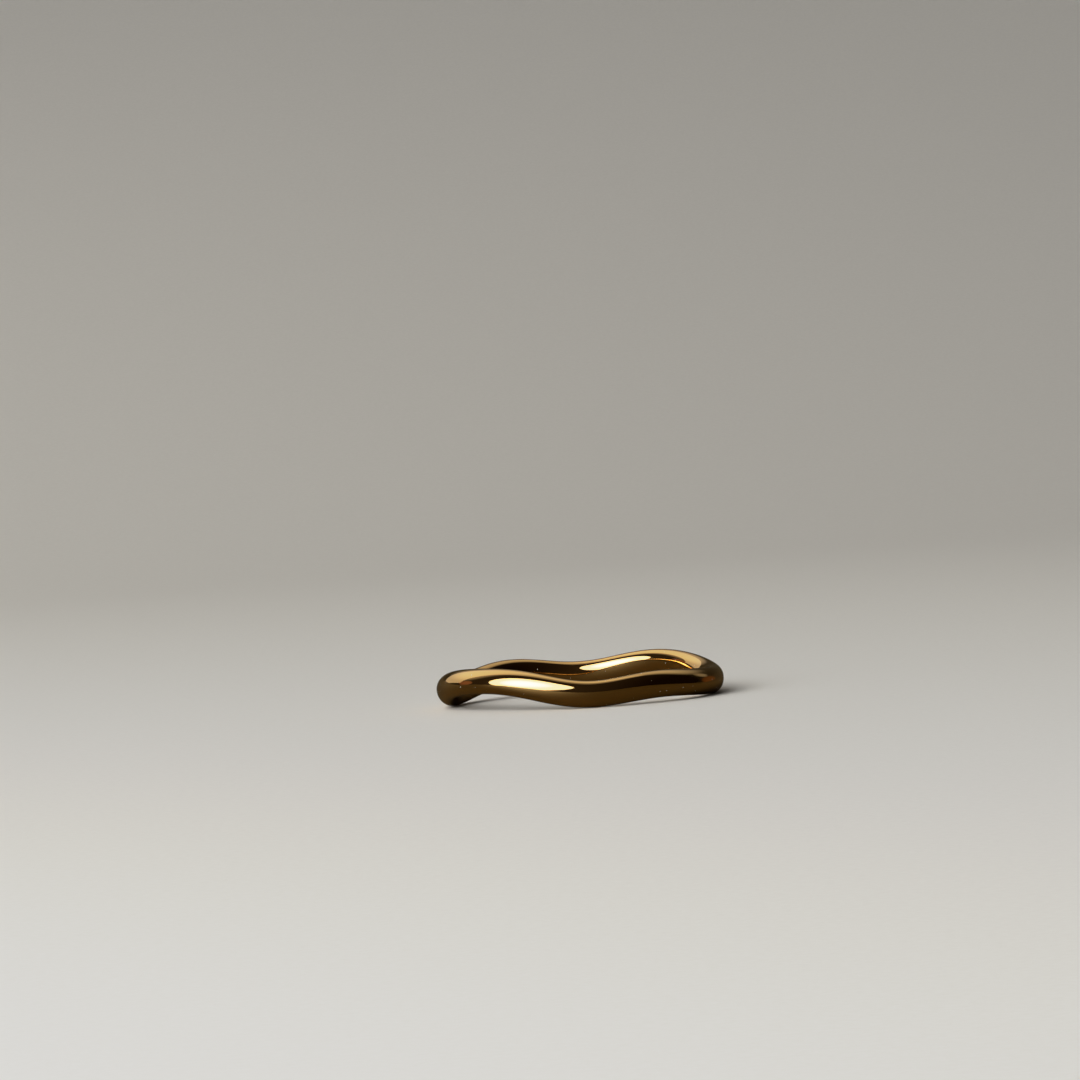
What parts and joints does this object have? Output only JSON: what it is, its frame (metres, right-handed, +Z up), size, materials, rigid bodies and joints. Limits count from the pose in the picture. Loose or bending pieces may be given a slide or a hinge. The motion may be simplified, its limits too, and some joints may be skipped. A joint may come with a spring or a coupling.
{
  "type": "wavy stackable ring",
  "caption": "Polished gold finger ring: one slim oval band that waves up and down and leans in and out around the finger, lying on its side.",
  "frame": {"origin": "on the surface the ring lies on, under the middle of the ring's box", "axes": "+Z up, along the ring's axis as it lies; -Y is the front shown in the picture, +X its right end"},
  "size_m": [0.0204, 0.0204, 0.003],
  "materials": {
    "polished_gold": "polished yellow gold"
  },
  "bodies": {
    "root": {"ring_band": "polished_gold"}
  },
  "joints": []
}
